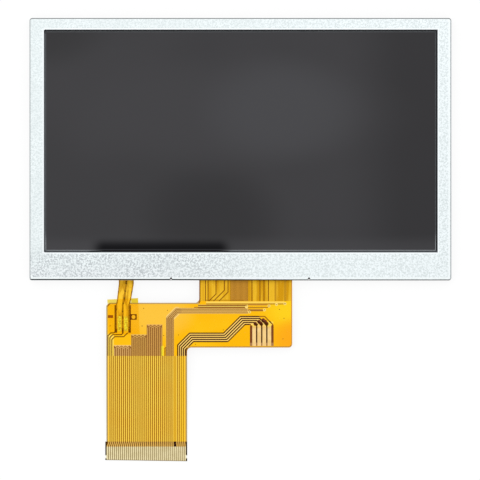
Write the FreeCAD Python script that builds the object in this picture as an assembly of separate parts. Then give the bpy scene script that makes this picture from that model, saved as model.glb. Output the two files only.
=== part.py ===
import FreeCAD, Part
import math
import os

# A thin-film-transistor display module lying on its back, in millimetres.
# The origin is the middle of the back face, on the floor. +X runs to the right of the screen, +Y to its top
# and +Z out of it. The flexes leave the lower edge, so a drop is a distance below that edge.

# Front bezel, folded from sheet steel
MODULE_WIDTH = 105.5
MODULE_HEIGHT = 65.6
BEZEL_SHEET = 0.25
BEZEL_CORNER = 0.7
BEZEL_FOLD = 0.3
SKIRT_LIFT = 0.35
WINDOW_LEFT_MARGIN = 3.65
WINDOW_RIGHT_MARGIN = 3.55
WINDOW_TOP_MARGIN = 3.0
WINDOW_BOTTOM_MARGIN = 7.1
WINDOW_CORNER = 0.25
RELIEF_RADIUS = 0.3
RELIEF_INSET = 0.45
SKIRT_GAP_WIDTH = 34.5
SKIRT_GAP_MIDDLE = -0.1

# How far a cutter runs past what it cuts
OVERSHOOT = 1.0

# Layers from the back to the front
COVER_SHEET = 0.2
REFLECTOR_SHEET = 0.1
LIGHT_GUIDE_DEPTH = 0.6
DIFFUSER_FILM = 0.06
PRISM_FILM = 0.06
RIM_TAPE_FILM = 0.06
REAR_POLARISER_FILM = 0.13
GLASS_DEPTH = 0.5
CELL_GAP = 0.02
FRONT_POLARISER_FILM = 0.15
PANEL_CLEARANCE = 0.15

# Fits between the layers, seen from the front
SHELL_FIT = 0.08
COVER_WALL = 0.6
COVER_BEND = 0.12
COVER_CORNER_RELIEF = 2.5
FRAME_WALL = 1.0
FRAME_SHELF = 0.8
FRAME_BASE_WALL = 0.6
GLASS_FIT = 0.15
FILM_FIT = 0.2
LEDGE_DEPTH = 3.8
TAPE_BAND = 1.8
TAPE_BASE_BAND = 4.8
FILM_BASE_INSET = 2.9
POLARISER_INSET = 0.9
POLARISER_REVEAL = 0.35
SEAL_WIDTH = 0.8

# Hooks of the moulded frame and the windows in the bezel's skirt
HOOK_LENGTH = 3.0
HOOK_REACH = 0.2
HOOK_HEIGHT = 0.6
HOOK_EDGE = 0.2
HOOK_LEVEL = 1.0
HOOK_WINDOW_FIT = 0.15
SIDE_HOOKS = (-16.0, 16.0)
TOP_HOOKS = (-36.0, 0.0, 36.0)
BASE_HOOKS = (-42.0, 30.0, 44.0)

# Light-emitting diodes
DIODE_COUNT = 10
DIODE_END_MARGIN = 9.02
DIODE_LENGTH = 3.0
DIODE_DEPTH = 1.0
DIODE_BACK_GAP = 0.45
DIODE_GUIDE_GAP = 0.1

# Driver chip and bonding film on the glass ledge
CHIP_LENGTH = 26.0
CHIP_WIDTH = 1.1
CHIP_DEPTH = 0.3
CHIP_GAP = 0.5
BOND_WIDTH = 1.4
BOND_FILM = 0.02

# Main flex, seen from the front
ROOT_LEFT = -10.3
ROOT_RIGHT = 12.95
HEAD_TOP_DROP = 5.6
ARM_BASE_DROP = 16.8
ARM_CORNER = 0.9
HEAD_CORNER_CUT = 0.75
INNER_CORNER = 1.05
TAIL_MIDDLE = -23.45
TAIL_END_MIDDLE = -23.6
TAIL_EDGE = 0.4
REAR_LAYER_DROP = 18.9
BEND_START_DROP = 19.6
BEND_END_DROP = 39.6
BEND_RADIUS = 12.0
STIFFENER_DROP = 40.4
COVERLAY_DROP = 41.65
TAIL_DROP = 45.3
TAIL_END_SKEW = 0.3
LOCK_NOTCH_RADIUS = 0.22
LOCK_NOTCH_DROP = 44.2

# Thickness of the flex's layers
BASE_FILM = 0.06
COPPER = 0.02
COVER_FILM = 0.03
GLUE_LINE = 0.01
STIFFENER = 0.22
GOLD_PAD = 0.025

# Copper pattern
COPPER_MARGIN = 0.3
GAP_WIDTH = 0.25
TOUCH_GAP_WIDTH = 0.3
FINE_GAP_WIDTH = 0.22
TRACE_WIDTH = 0.22
BUNDLE_TRACE_WIDTH = 0.13
RUN_TRACE_WIDTH = 0.1
TRACE_PITCH = 0.485
TRACE_COUNT = 40
OPEN_TRACE = 34
CONTACT_PITCH = 0.5
CONTACT_WIDTH = 0.3
CONTACT_END_MARGIN = 0.12
VIA_RADIUS = 0.14
VIA_SIDES = 6
ZIGZAG_RISE = 0.35

# Touch pads
PAD_COUNT = 4
PAD_PITCH = 1.27
PAD_WIDTH = 0.92
PAD_LENGTH = 4.9
PAD_FIRST_X = 3.43
PAD_DROP = 11.5
PAD_FIELD_MARGIN = 0.6
PAD_OPENING_DROP = 11.95

# Backlight flex
STRIP_END_MARGIN = 3.12
STRIP_WIDTH = 2.95
STRIP_FIT = 0.1
LED_BASE_FILM = 0.05
LED_EXIT_LEFT = -30.45
LED_EXIT_RIGHT = -26.7
LED_END_LEFT = -31.15
LED_END_RIGHT = -27.75
LED_CONDUCTOR_MARGIN = 0.3
LED_CONDUCTOR_GAP = 0.45
LED_RISE_START = 0.1
LED_RISE_END = 4.1
LED_RISE_RADIUS = 1.5
LED_BARE_DROP = 8.9
LED_END_DROP = 12.1
LED_EXIT_ROOM = 0.6
# Where each stretch of the flex's sides ends, as (drop, share of the way from the exit's x to the end's)
LED_SIDE_STEPS = ((0.9, 0.0), (4.7, 0.6), (6.2, 1.0))

# Solder joints and the tape over them
SOLDER_WIDTH = 0.85
SOLDER_DEPTH = 0.08
SOLDER_TOE = 0.6
SOLDER_START = 0.1
SOLDER_SLOPE = 0.2
OPENING_TOP_DROP = 6.2
OPENING_BASE_DROP = 13.1
OPENING_MARGIN = 0.35
TAPE_FILM = 0.05
TAPE_LEFT = -33.1
TAPE_RIGHT = -25.4
TAPE_TOP_DROP = 4.6
TAPE_BASE_DROP = 13.6
TAPE_RAMP = 1.0
TAPE_TILT = 2.7

# Capacitors behind the head, as (x, drop)
CAPACITOR_SIZE = (1.0, 0.5, 0.5)
CAPACITOR_ROOM = 0.08
CAPACITOR_PLACES = ((-6.0, 14.5), (-3.5, 14.5), (-1.0, 14.5), (0.5, 9.8), (9.8, 8.6), (9.8, 10.4))

# Bundles of traces that end in staggered rows: first and last trace, and the drop of their upper end
BUNDLE_SPANS = ((3, 11), (12, 19), (20, 27))
BUNDLE_DROPS = (16.3, 13.6, 11.1)
SIDE_TRACE = 29
SIDE_TRACE_DROP = 16.6

# The run of four traces that climbs beside the bundles, turns and crosses to the root
RUN_TRACES = (30, 31, 32, 33)
RUN_TOP_DROP = 6.95
RUN_BASE_DROP = 8.3
RUN_TURN_DROP = 9.4
RUN_END_X = 1.9

# Gaps beside the traces from the backlight's joints, as (x of the upper end, its drop, drop of the level run)
LED_GAPS = ((-31.3, 12.75, 13.15), (-29.3, 13.1, 13.6), (-28.0, 12.9, 14.1))
LED_GAP_TURN = 0.7

# The four touch traces: five gaps that run in step
TOUCH_FIRST_TRACE = 36
TOUCH_ROW_X = -12.74
TOUCH_ROW_STEP_X = 0.25
TOUCH_ROW_DROP = 13.2
TOUCH_ROW_STEP = 0.53
TOUCH_TURN_X = -4.24
TOUCH_TURN_STEP_X = 0.28
TOUCH_UPPER_DROP = 9.03
TOUCH_UPPER_STEP = 0.5
WEDGE_REACH = 0.4
OUTER_TURN_RISE = 0.5
INNER_TURN_RISE = 0.2

# Lines in the root: x, and the drop where the line turns left, or None for a straight one
ROOT_LINES = (
    (-8.74, None), (-8.11, None), (-6.11, 3.4), (-3.99, 2.45), (-3.11, 2.95),
    (2.89, None), (4.89, None), (5.89, None), (7.01, None),
)
ROOT_WIDE_LINES = ((8.76, 0.45), (11.2, 0.6))
ROOT_LINES_DROP = 5.2
ROOT_FIELD = (-2.49, 1.89)
ROOT_FIELD_STEP = 0.3
ROOT_FIELD_TRACE = 0.12

# Level lines between the root and the run, as (left x, right x, drop), and the bare field on their left
CROSS_LINES = ((-8.6, 10.9, 5.9), (-11.6, 6.9, 6.75), (RUN_END_X, 6.1, 7.55))
CROSS_FIELD = (-10.6, RUN_END_X, 6.1, RUN_TOP_DROP)
CROSS_TRACE_DROP = 6.52
CROSS_ZIGZAG_REACH = 0.2
CROSS_ZIGZAG_STEP = 0.44

# Plated holes, as (x, drop)
VIA_PLACES = (
    (-24.2, 7.0), (-18.25, 7.5), (-24.6, 11.4), (-19.2, 13.8), (-15.5, 13.65), (-32.6, 11.4),
    (10.9, 9.5), (10.65, 14.65), (9.75, 7.3), (-4.25, 12.4), (-11.25, 16.0),
)

# Alignment marks beside the backlight's joints, as (x, drop, width, height)
OBLONG_MARK = (-32.5, 9.05, 1.3, 0.7)
SQUARE_MARK = (-26.75, 9.15, 1.6, 1.4)
MARK_DOT_RADIUS = 0.5

# Places worked out from the sizes above
HALF_WIDTH = MODULE_WIDTH / 2
HALF_HEIGHT = MODULE_HEIGHT / 2
REFLECTOR_Z = COVER_SHEET
GUIDE_Z = REFLECTOR_Z + REFLECTOR_SHEET
FILMS_Z = GUIDE_Z + LIGHT_GUIDE_DEPTH
LOWER_PRISM_Z = FILMS_Z + DIFFUSER_FILM
UPPER_PRISM_Z = LOWER_PRISM_Z + PRISM_FILM
UPPER_DIFFUSER_Z = UPPER_PRISM_Z + PRISM_FILM
RIM_TAPE_Z = UPPER_DIFFUSER_Z + DIFFUSER_FILM
REAR_POLARISER_Z = RIM_TAPE_Z + RIM_TAPE_FILM
ARRAY_Z = REAR_POLARISER_Z + REAR_POLARISER_FILM
CELL_Z = ARRAY_Z + GLASS_DEPTH
FILTER_Z = CELL_Z + CELL_GAP
FRONT_POLARISER_Z = FILTER_Z + GLASS_DEPTH
PANEL_TOP_Z = FRONT_POLARISER_Z + FRONT_POLARISER_FILM
BEZEL_UNDER_Z = PANEL_TOP_Z + PANEL_CLEARANCE
MODULE_DEPTH = BEZEL_UNDER_Z + BEZEL_SHEET

SHELL_X = HALF_WIDTH - BEZEL_SHEET - SHELL_FIT
SHELL_Y = HALF_HEIGHT - BEZEL_SHEET - SHELL_FIT
POCKET_X = SHELL_X - FRAME_WALL
POCKET_Y = SHELL_Y - FRAME_WALL
GLASS_X = POCKET_X - GLASS_FIT
GLASS_Y = POCKET_Y - GLASS_FIT
FILTER_BASE_Y = -GLASS_Y + LEDGE_DEPTH
WELL_X = POCKET_X - FRAME_SHELF
WELL_TOP_Y = POCKET_Y - FRAME_SHELF
WELL_BASE_Y = -SHELL_Y + FRAME_BASE_WALL
GUIDE_X = WELL_X - FILM_FIT
GUIDE_TOP_Y = WELL_TOP_Y - FILM_FIT
DIODE_BACK_Y = WELL_BASE_Y + DIODE_BACK_GAP
GUIDE_BASE_Y = DIODE_BACK_Y + DIODE_DEPTH + DIODE_GUIDE_GAP
FILM_BASE_Y = -GLASS_Y + FILM_BASE_INSET
DIODE_PITCH = 2 * (GUIDE_X - DIODE_END_MARGIN) / (DIODE_COUNT - 1)
STRIP_X = WELL_X - STRIP_END_MARGIN
WINDOW_LEFT_X = -HALF_WIDTH + WINDOW_LEFT_MARGIN
WINDOW_RIGHT_X = HALF_WIDTH - WINDOW_RIGHT_MARGIN
WINDOW_TOP_Y = HALF_HEIGHT - WINDOW_TOP_MARGIN
WINDOW_BASE_Y = -HALF_HEIGHT + WINDOW_BOTTOM_MARGIN
SKIRT_GAP_LEFT = SKIRT_GAP_MIDDLE - SKIRT_GAP_WIDTH / 2
SKIRT_GAP_RIGHT = SKIRT_GAP_MIDDLE + SKIRT_GAP_WIDTH / 2

FLEX_Z = CELL_Z + BOND_FILM
COPPER_LEVEL = BASE_FILM
COVER_LEVEL = COPPER_LEVEL + COPPER + GLUE_LINE
FLEX_TOP_LEVEL = COVER_LEVEL + COVER_FILM
REAR_LEVEL = -COPPER - COVER_FILM
LED_STRIP_Z = FILMS_Z
LED_HEAD_Z = FLEX_Z + FLEX_TOP_LEVEL + GLUE_LINE
LED_COVER_LEVEL = LED_BASE_FILM + COPPER + GLUE_LINE
LED_TOP_LEVEL = LED_COVER_LEVEL + COVER_FILM
BOND_DROP = GLASS_Y - HALF_HEIGHT
TAIL_WIDTH = TRACE_COUNT * TRACE_PITCH + 2 * TAIL_EDGE
TAIL_END_WIDTH = (TRACE_COUNT + 1) * CONTACT_PITCH
TAIL_LEFT = TAIL_MIDDLE - TAIL_WIDTH / 2
TAIL_RIGHT = TAIL_MIDDLE + TAIL_WIDTH / 2
PAD_FIELD_LEFT = PAD_FIRST_X - PAD_WIDTH / 2 - PAD_FIELD_MARGIN
PAD_FIELD_RIGHT = PAD_FIRST_X + (PAD_COUNT - 1) * PAD_PITCH + PAD_WIDTH / 2 + PAD_FIELD_MARGIN
PAD_FIELD_BASE_DROP = PAD_DROP + PAD_LENGTH


def point(x, y, z=0.0):
    return FreeCAD.Vector(x, y, z)


def below(drop):
    """The y of a place that lies this far below the module's lower edge."""
    return -HALF_HEIGHT - drop


def block(x0, x1, y0, y1, z0, z1):
    return Part.makeBox(x1 - x0, y1 - y0, z1 - z0, point(x0, y0, z0))


def prism(corners, z0, z1):
    """Upright solid over a plan outline of straight edges."""
    ring = [point(x, y, z0) for x, y in corners]
    return Part.Face(Part.makePolygon(ring + ring[:1])).extrude(point(0, 0, z1 - z0))


def rounded_prism(corners, z0, z1):
    """Upright solid over a plan outline whose corners are (x, y, radius)."""
    edges = []
    last = None
    first = None
    for index, (x, y, radius) in enumerate(corners):
        corner = point(x, y, z0)
        before = corners[index - 1]
        after = corners[(index + 1) % len(corners)]
        back = (point(before[0], before[1], z0) - corner).normalize()
        ahead = (point(after[0], after[1], z0) - corner).normalize()
        start = corner
        end = corner
        if radius:
            half_turn = back.getAngle(ahead) / 2
            start = corner + back * (radius / math.tan(half_turn))
            end = corner + ahead * (radius / math.tan(half_turn))
            inward = (back + ahead).normalize()
            middle = corner + inward * (radius / math.sin(half_turn) - radius)
        if last is not None:
            edges.append(Part.LineSegment(last, start).toShape())
        if radius:
            edges.append(Part.Arc(start, middle, end).toShape())
        first = first or start
        last = end
    edges.append(Part.LineSegment(last, first).toShape())
    return Part.Face(Part.Wire(edges)).extrude(point(0, 0, z1 - z0))


def rounded_block(x0, x1, y0, y1, z0, z1, radius):
    corners = ((x0, y0, radius), (x1, y0, radius), (x1, y1, radius), (x0, y1, radius))
    return rounded_prism(corners, z0, z1)


def ribbon(route, width, z0, z1):
    """Flat strip of even width along a plan route, with mitred turns."""
    left = []
    right = []
    for index, (x, y) in enumerate(route):
        here = point(x, y)
        steps = []
        if index > 0:
            steps.append((here - point(*route[index - 1])).normalize())
        if index < len(route) - 1:
            steps.append((point(*route[index + 1]) - here).normalize())
        along = point(0, 0)
        for step in steps:
            along = along + step
        along.normalize()
        reach = width / 2 / along.dot(steps[0])
        side = point(-along.y, along.x) * reach
        left.append((x + side.x, y + side.y))
        right.append((x - side.x, y - side.y))
    return prism(left + right[::-1], z0, z1)


def bent_sheet(low, high, x0, x1, drops, start_z, end_z, radius):
    """Layer of a flex between two heights over its own underside.

    drops are where the sheet starts, its bend starts, its bend ends and the sheet ends. Two arcs of equal
    radius and a slope between them lead smoothly from one level to the other.
    """
    sheet_start, bend_start, bend_end, sheet_end = drops
    fall = abs(start_z - end_z)
    length = bend_end - bend_start
    rise_of_centres = 2 * radius - fall
    turn = math.asin(2 * radius / math.hypot(length, rise_of_centres)) - math.atan2(rise_of_centres, length)
    sign = 1 if start_z > end_z else -1

    def first_arc(height, share):
        reach = radius + sign * height
        z = start_z - sign * radius + sign * reach * math.cos(turn * share)
        return point(0, below(bend_start + reach * math.sin(turn * share)), z)

    def second_arc(height, share):
        reach = radius - sign * height
        z = end_z + sign * radius - sign * reach * math.cos(turn * share)
        return point(0, below(bend_end - reach * math.sin(turn * share)), z)

    edges = []
    ends = []
    for height in (low, high):
        first = [first_arc(height, share) for share in (0, 0.5, 1)]
        second = [second_arc(height, share) for share in (1, 0.5, 0)]
        start = point(0, below(sheet_start), start_z + height)
        end = point(0, below(sheet_end), end_z + height)
        if sheet_start < bend_start:
            edges.append(Part.LineSegment(start, first[0]).toShape())
        edges.append(Part.Arc(*first).toShape())
        edges.append(Part.LineSegment(first[2], second[0]).toShape())
        edges.append(Part.Arc(*second).toShape())
        if bend_end < sheet_end:
            edges.append(Part.LineSegment(second[2], end).toShape())
        ends.append((start, end))
    edges.append(Part.LineSegment(ends[0][0], ends[1][0]).toShape())
    edges.append(Part.LineSegment(ends[0][1], ends[1][1]).toShape())
    wire = Part.Wire(Part.__sortEdges__(edges))
    sheet = Part.Face(wire).extrude(point(x1 - x0, 0, 0))
    sheet.translate(point(x0, 0, 0))
    return sheet


def join(shapes):
    """One shape of all the solids given, with touching ones made one."""
    shapes = list(shapes)
    return shapes[0].fuse(shapes[1:]).removeSplitter()


def group(shapes):
    return Part.makeCompound(list(shapes))


# Housing


def hook_spots():
    """Middle of each hook on the shell's outside and the way it points, as (x, y, outward x, outward y)."""
    spots = []
    for y in SIDE_HOOKS:
        spots.append((-SHELL_X, y, -1, 0))
        spots.append((SHELL_X, y, 1, 0))
    for x in TOP_HOOKS:
        spots.append((x, SHELL_Y, 0, 1))
    for x in BASE_HOOKS:
        spots.append((x, -SHELL_Y, 0, -1))
    return spots


def hook(spot):
    """Wedge that is flat below and slopes above, so that the bezel slides down over it."""
    x, y, out_x, out_y = spot
    profile = (
        point(0, 0, HOOK_LEVEL),
        point(HOOK_REACH, 0, HOOK_LEVEL),
        point(HOOK_REACH, 0, HOOK_LEVEL + HOOK_EDGE),
        point(0, 0, HOOK_LEVEL + HOOK_HEIGHT),
    )
    wedge = Part.Face(Part.makePolygon(profile + profile[:1])).extrude(point(0, HOOK_LENGTH, 0))
    wedge.translate(point(0, -HOOK_LENGTH / 2, 0))
    wedge.rotate(point(0, 0), point(0, 0, 1), math.degrees(math.atan2(out_y, out_x)))
    wedge.translate(point(x, y, 0))
    return wedge


def hook_window(spot):
    x, y, out_x, out_y = spot
    half = HOOK_LENGTH / 2 + HOOK_WINDOW_FIT
    deep = 2 * BEZEL_SHEET
    reach_x = half if out_y else deep
    reach_y = half if out_x else deep
    middle_x = x + out_x * BEZEL_SHEET
    middle_y = y + out_y * BEZEL_SHEET
    z0 = HOOK_LEVEL - HOOK_WINDOW_FIT
    z1 = HOOK_LEVEL + HOOK_HEIGHT + HOOK_WINDOW_FIT
    return block(middle_x - reach_x, middle_x + reach_x, middle_y - reach_y, middle_y + reach_y, z0, z1)


def front_bezel():
    outer = rounded_block(
        -HALF_WIDTH, HALF_WIDTH, -HALF_HEIGHT, HALF_HEIGHT, SKIRT_LIFT, MODULE_DEPTH, BEZEL_CORNER
    )
    rim = [e for e in outer.Edges if e.BoundBox.ZMin > MODULE_DEPTH - BEZEL_SHEET]
    outer = outer.makeFillet(BEZEL_FOLD, rim)
    inner_x = HALF_WIDTH - BEZEL_SHEET
    inner_y = HALF_HEIGHT - BEZEL_SHEET
    inner = rounded_block(
        -inner_x, inner_x, -inner_y, inner_y, 0, BEZEL_UNDER_Z, BEZEL_CORNER - BEZEL_SHEET
    )
    window = rounded_block(
        WINDOW_LEFT_X, WINDOW_RIGHT_X, WINDOW_BASE_Y, WINDOW_TOP_Y, 0, 2 * MODULE_DEPTH, WINDOW_CORNER
    )
    skirt_gap = block(SKIRT_GAP_LEFT, SKIRT_GAP_RIGHT, below(OVERSHOOT), -inner_y, 0, BEZEL_UNDER_Z)
    led_slot = block(
        LED_EXIT_LEFT - LED_EXIT_ROOM,
        LED_EXIT_RIGHT + LED_EXIT_ROOM,
        below(OVERSHOOT),
        -inner_y,
        0,
        LED_STRIP_Z + LED_TOP_LEVEL + LED_EXIT_ROOM,
    )
    reliefs = [
        Part.makeCylinder(RELIEF_RADIUS, 2 * MODULE_DEPTH, point(x, below(-RELIEF_INSET)))
        for x in (SKIRT_GAP_LEFT, SKIRT_GAP_RIGHT)
    ]
    windows = [hook_window(spot) for spot in hook_spots()]
    return outer.cut([inner, window, skirt_gap, led_slot] + reliefs + windows)


def rear_cover():
    """Shallow tray: a plate with a low wall along each side, open at the corners."""
    plate = rounded_block(-SHELL_X, SHELL_X, -SHELL_Y, SHELL_Y, 0, COVER_SHEET, BEZEL_CORNER)
    bottom = [e for e in plate.Edges if e.BoundBox.ZMax < COVER_SHEET / 2]
    plate = plate.makeChamfer(COVER_BEND, bottom)
    wall_x = SHELL_X - COVER_CORNER_RELIEF
    wall_y = SHELL_Y - COVER_CORNER_RELIEF
    inner_x = SHELL_X - COVER_SHEET
    inner_y = SHELL_Y - COVER_SHEET
    walls = []
    for x0, x1 in ((-SHELL_X, -inner_x), (inner_x, SHELL_X)):
        walls.append(block(x0, x1, -wall_y, wall_y, COVER_BEND, COVER_WALL))
    for y0, y1 in ((-SHELL_Y, -inner_y), (inner_y, SHELL_Y)):
        walls.append(block(-wall_x, wall_x, y0, y1, COVER_BEND, COVER_WALL))
    return join([plate] + walls)


def panel_frame():
    """Moulded frame: its foot stands inside the tray's walls, and its upper part is flush with them."""
    foot_x = SHELL_X - COVER_SHEET - SHELL_FIT
    foot_y = SHELL_Y - COVER_SHEET - SHELL_FIT
    step_z = COVER_WALL + SHELL_FIT
    wall_top = FRONT_POLARISER_Z
    corner = BEZEL_CORNER - BEZEL_SHEET
    foot = rounded_block(-foot_x, foot_x, -foot_y, foot_y, COVER_SHEET, step_z, corner)
    body = rounded_block(-SHELL_X, SHELL_X, -SHELL_Y, SHELL_Y, step_z, wall_top, corner)
    well = block(-WELL_X, WELL_X, WELL_BASE_Y, WELL_TOP_Y, 0, RIM_TAPE_Z)
    pocket = block(-POCKET_X, POCKET_X, -POCKET_Y, POCKET_Y, RIM_TAPE_Z, 2 * wall_top)
    led_slot = block(
        LED_EXIT_LEFT - LED_EXIT_ROOM / 2,
        LED_EXIT_RIGHT + LED_EXIT_ROOM / 2,
        below(OVERSHOOT),
        WELL_BASE_Y,
        LED_STRIP_Z - SHELL_FIT,
        LED_STRIP_Z + LED_TOP_LEVEL + SHELL_FIT,
    )
    flex_gap = block(
        ROOT_LEFT - GLASS_FIT,
        ROOT_RIGHT + GLASS_FIT,
        below(OVERSHOOT),
        -POCKET_Y,
        FLEX_Z + REAR_LEVEL - SHELL_FIT,
        2 * wall_top,
    )
    hooks = [hook(spot) for spot in hook_spots()]
    return join([foot, body]).cut([well, pocket, led_slot, flex_gap]).fuse(hooks).removeSplitter()


# Backlight


def reflector_sheet():
    return block(-GUIDE_X, GUIDE_X, WELL_BASE_Y + STRIP_FIT, GUIDE_TOP_Y, REFLECTOR_Z, GUIDE_Z)


def light_guide():
    return block(-GUIDE_X, GUIDE_X, GUIDE_BASE_Y, GUIDE_TOP_Y, GUIDE_Z, FILMS_Z)


def backlight_film(z, film):
    return block(-GUIDE_X, GUIDE_X, FILM_BASE_Y, GUIDE_TOP_Y, z, z + film)


def led_packages():
    packages = []
    for index in range(DIODE_COUNT):
        middle = (index - (DIODE_COUNT - 1) / 2) * DIODE_PITCH
        x0 = middle - DIODE_LENGTH / 2
        packages.append(
            block(x0, x0 + DIODE_LENGTH, DIODE_BACK_Y, DIODE_BACK_Y + DIODE_DEPTH, GUIDE_Z, LED_STRIP_Z)
        )
    return group(packages)


def ring(x, base_y, top_y, inner_x, inner_base_y, inner_top_y, z0, z1):
    outer = block(-x, x, base_y, top_y, z0, z1)
    return outer.cut(block(-inner_x, inner_x, inner_base_y, inner_top_y, z0, z1))


def rim_tape():
    x = POCKET_X - STRIP_FIT
    y = POCKET_Y - STRIP_FIT
    inner_top_y = y - TAPE_BAND
    return ring(x, -y, y, x - TAPE_BAND, -y + TAPE_BASE_BAND, inner_top_y, RIM_TAPE_Z, REAR_POLARISER_Z)


# Panel


def rear_polariser():
    x = GLASS_X - POLARISER_INSET
    top = GLASS_Y - POLARISER_INSET
    return block(-x, x, FILTER_BASE_Y + STRIP_FIT, top, REAR_POLARISER_Z, ARRAY_Z)


def array_glass():
    return block(-GLASS_X, GLASS_X, -GLASS_Y, GLASS_Y, ARRAY_Z, CELL_Z)


def cell_seal():
    inner_x = GLASS_X - SEAL_WIDTH
    inner_base_y = FILTER_BASE_Y + SEAL_WIDTH
    inner_top_y = GLASS_Y - SEAL_WIDTH
    return ring(GLASS_X, FILTER_BASE_Y, GLASS_Y, inner_x, inner_base_y, inner_top_y, CELL_Z, FILTER_Z)


def liquid_crystal():
    x = GLASS_X - SEAL_WIDTH
    return block(-x, x, FILTER_BASE_Y + SEAL_WIDTH, GLASS_Y - SEAL_WIDTH, CELL_Z, FILTER_Z)


def filter_glass():
    return block(-GLASS_X, GLASS_X, FILTER_BASE_Y, GLASS_Y, FILTER_Z, FRONT_POLARISER_Z)


def front_polariser():
    """Film whose edge shows just inside the window, all round."""
    film = block(
        WINDOW_LEFT_X + POLARISER_REVEAL,
        WINDOW_RIGHT_X - POLARISER_REVEAL,
        WINDOW_BASE_Y + POLARISER_REVEAL,
        WINDOW_TOP_Y - POLARISER_REVEAL,
        FRONT_POLARISER_Z,
        PANEL_TOP_Z,
    )
    upper = [e for e in film.Edges if e.BoundBox.ZMin > PANEL_TOP_Z - FRONT_POLARISER_FILM / 2]
    return film.makeChamfer(FRONT_POLARISER_FILM / 2, upper)


def driver_chip():
    top = FILTER_BASE_Y - CHIP_GAP
    return block(-CHIP_LENGTH / 2, CHIP_LENGTH / 2, top - CHIP_WIDTH, top, CELL_Z, CELL_Z + CHIP_DEPTH)


def bonding_film():
    return block(ROOT_LEFT, ROOT_RIGHT, -GLASS_Y, -GLASS_Y + BOND_WIDTH, CELL_Z, FLEX_Z)


# Main flex


def trace_x(index):
    return TAIL_MIDDLE + (index - (TRACE_COUNT - 1) / 2) * TRACE_PITCH


def contact_x(index):
    return TAIL_END_MIDDLE + (index - (TRACE_COUNT - 1) / 2) * CONTACT_PITCH


def head_corners(inset=0.0, top_drop=0.0):
    """Plan of the root, head and arm, down to the end of the rear layers."""
    base = below(REAR_LAYER_DROP)
    left = TAIL_LEFT + inset
    right = ROOT_RIGHT - inset
    head_top = below(HEAD_TOP_DROP + inset)
    arm_base = below(ARM_BASE_DROP - inset)
    cut = HEAD_CORNER_CUT
    return (
        (left, base, 0),
        (TAIL_RIGHT - inset, base, 0),
        (TAIL_RIGHT - inset, arm_base, INNER_CORNER + inset),
        (right, arm_base, ARM_CORNER - inset),
        (right, below(top_drop), 0),
        (ROOT_LEFT + inset, below(top_drop), 0),
        (ROOT_LEFT + inset, head_top, INNER_CORNER - inset),
        (left + cut, head_top, 0),
        (left, head_top - cut, 0),
    )


def tail_drops(start_drop, end_drop):
    return (start_drop, BEND_START_DROP, BEND_END_DROP, end_drop)


def tail_sheet(low, high, x0, x1, start_drop, end_drop):
    drops = tail_drops(start_drop, end_drop)
    return bent_sheet(low, high, x0, x1, drops, FLEX_Z, STIFFENER, BEND_RADIUS)


def tail_end_cutter():
    """Everything beyond the tail's slightly slanting end."""
    half = TAIL_END_WIDTH / 2 + OVERSHOOT
    slope = TAIL_END_SKEW / TAIL_END_WIDTH
    left = below(TAIL_DROP - TAIL_END_SKEW / 2 - half * slope)
    right = below(TAIL_DROP - TAIL_END_SKEW / 2 + half * slope)
    past = below(TAIL_DROP + 2 * OVERSHOOT)
    x0 = TAIL_END_MIDDLE - half
    x1 = TAIL_END_MIDDLE + half
    return prism(((x0, left), (x1, right), (x1, past), (x0, past)), -OVERSHOOT, FLEX_Z)


def tail_end_sides():
    """Notches in both sides of the stiffened end."""
    notches = []
    for side in (-1, 1):
        x = TAIL_END_MIDDLE + side * TAIL_END_WIDTH / 2
        notches.append(Part.makeCylinder(LOCK_NOTCH_RADIUS, FLEX_Z, point(x, below(LOCK_NOTCH_DROP))))
    return notches


def end_block(z0, z1):
    """Layer of the stiffened end, with its notches and slanting end."""
    half = TAIL_END_WIDTH / 2
    x0 = TAIL_END_MIDDLE - half
    x1 = TAIL_END_MIDDLE + half
    layer = block(x0, x1, below(TAIL_DROP + OVERSHOOT), below(STIFFENER_DROP), z0, z1)
    return layer.cut([tail_end_cutter()] + tail_end_sides())


def flex_base():
    head = rounded_prism(head_corners(0, BOND_DROP - BOND_WIDTH), FLEX_Z, FLEX_Z + BASE_FILM)
    tail = tail_sheet(0, BASE_FILM, TAIL_LEFT, TAIL_RIGHT, REAR_LAYER_DROP, STIFFENER_DROP)
    return join([head, tail, end_block(STIFFENER, STIFFENER + BASE_FILM)])


def tail_stiffener():
    return end_block(0, STIFFENER)


def led_opening_corners():
    left = LED_END_LEFT - OPENING_MARGIN
    right = LED_END_RIGHT + OPENING_MARGIN
    top = below(OPENING_TOP_DROP)
    base = below(OPENING_BASE_DROP)
    return (left, top), (right, top), (right, base), (left, base)


def pad_x(index):
    return PAD_FIRST_X + index * PAD_PITCH


def copper_layer(corners):
    z0 = FLEX_Z + COPPER_LEVEL
    return prism(corners, z0, z0 + COPPER)


def copper_ribbon(route, width):
    z0 = FLEX_Z + COPPER_LEVEL
    return ribbon([(x, below(drop)) for x, drop in route], width, z0, z0 + COPPER)


def copper_patch(places):
    """Piece of the copper layer, solid or to be cut out, with corners at (x, drop) places."""
    return copper_layer([(x, below(drop)) for x, drop in places])


def zigzag(first, last, drop):
    """Places along a saw-toothed line over the traces from first to last."""
    places = []
    x = trace_x(first - 0.5)
    rise = 0
    while x < trace_x(last + 0.5) + 0.01:
        places.append((x, drop + rise))
        rise = ZIGZAG_RISE - rise
        x += TRACE_PITCH
    return places


def bundle_gap(span, drop):
    first, last = span
    base = REAR_LAYER_DROP
    edge = zigzag(first, last, drop)
    return copper_patch([(edge[0][0], base)] + edge + [(edge[-1][0], base)])


def bundle_link(span, drop):
    """Copper zigzag that runs under the bundle's saw-toothed edge."""
    first, last = span
    return copper_ribbon(zigzag(first, last, drop + ZIGZAG_RISE)[1:-1], BUNDLE_TRACE_WIDTH)


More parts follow.
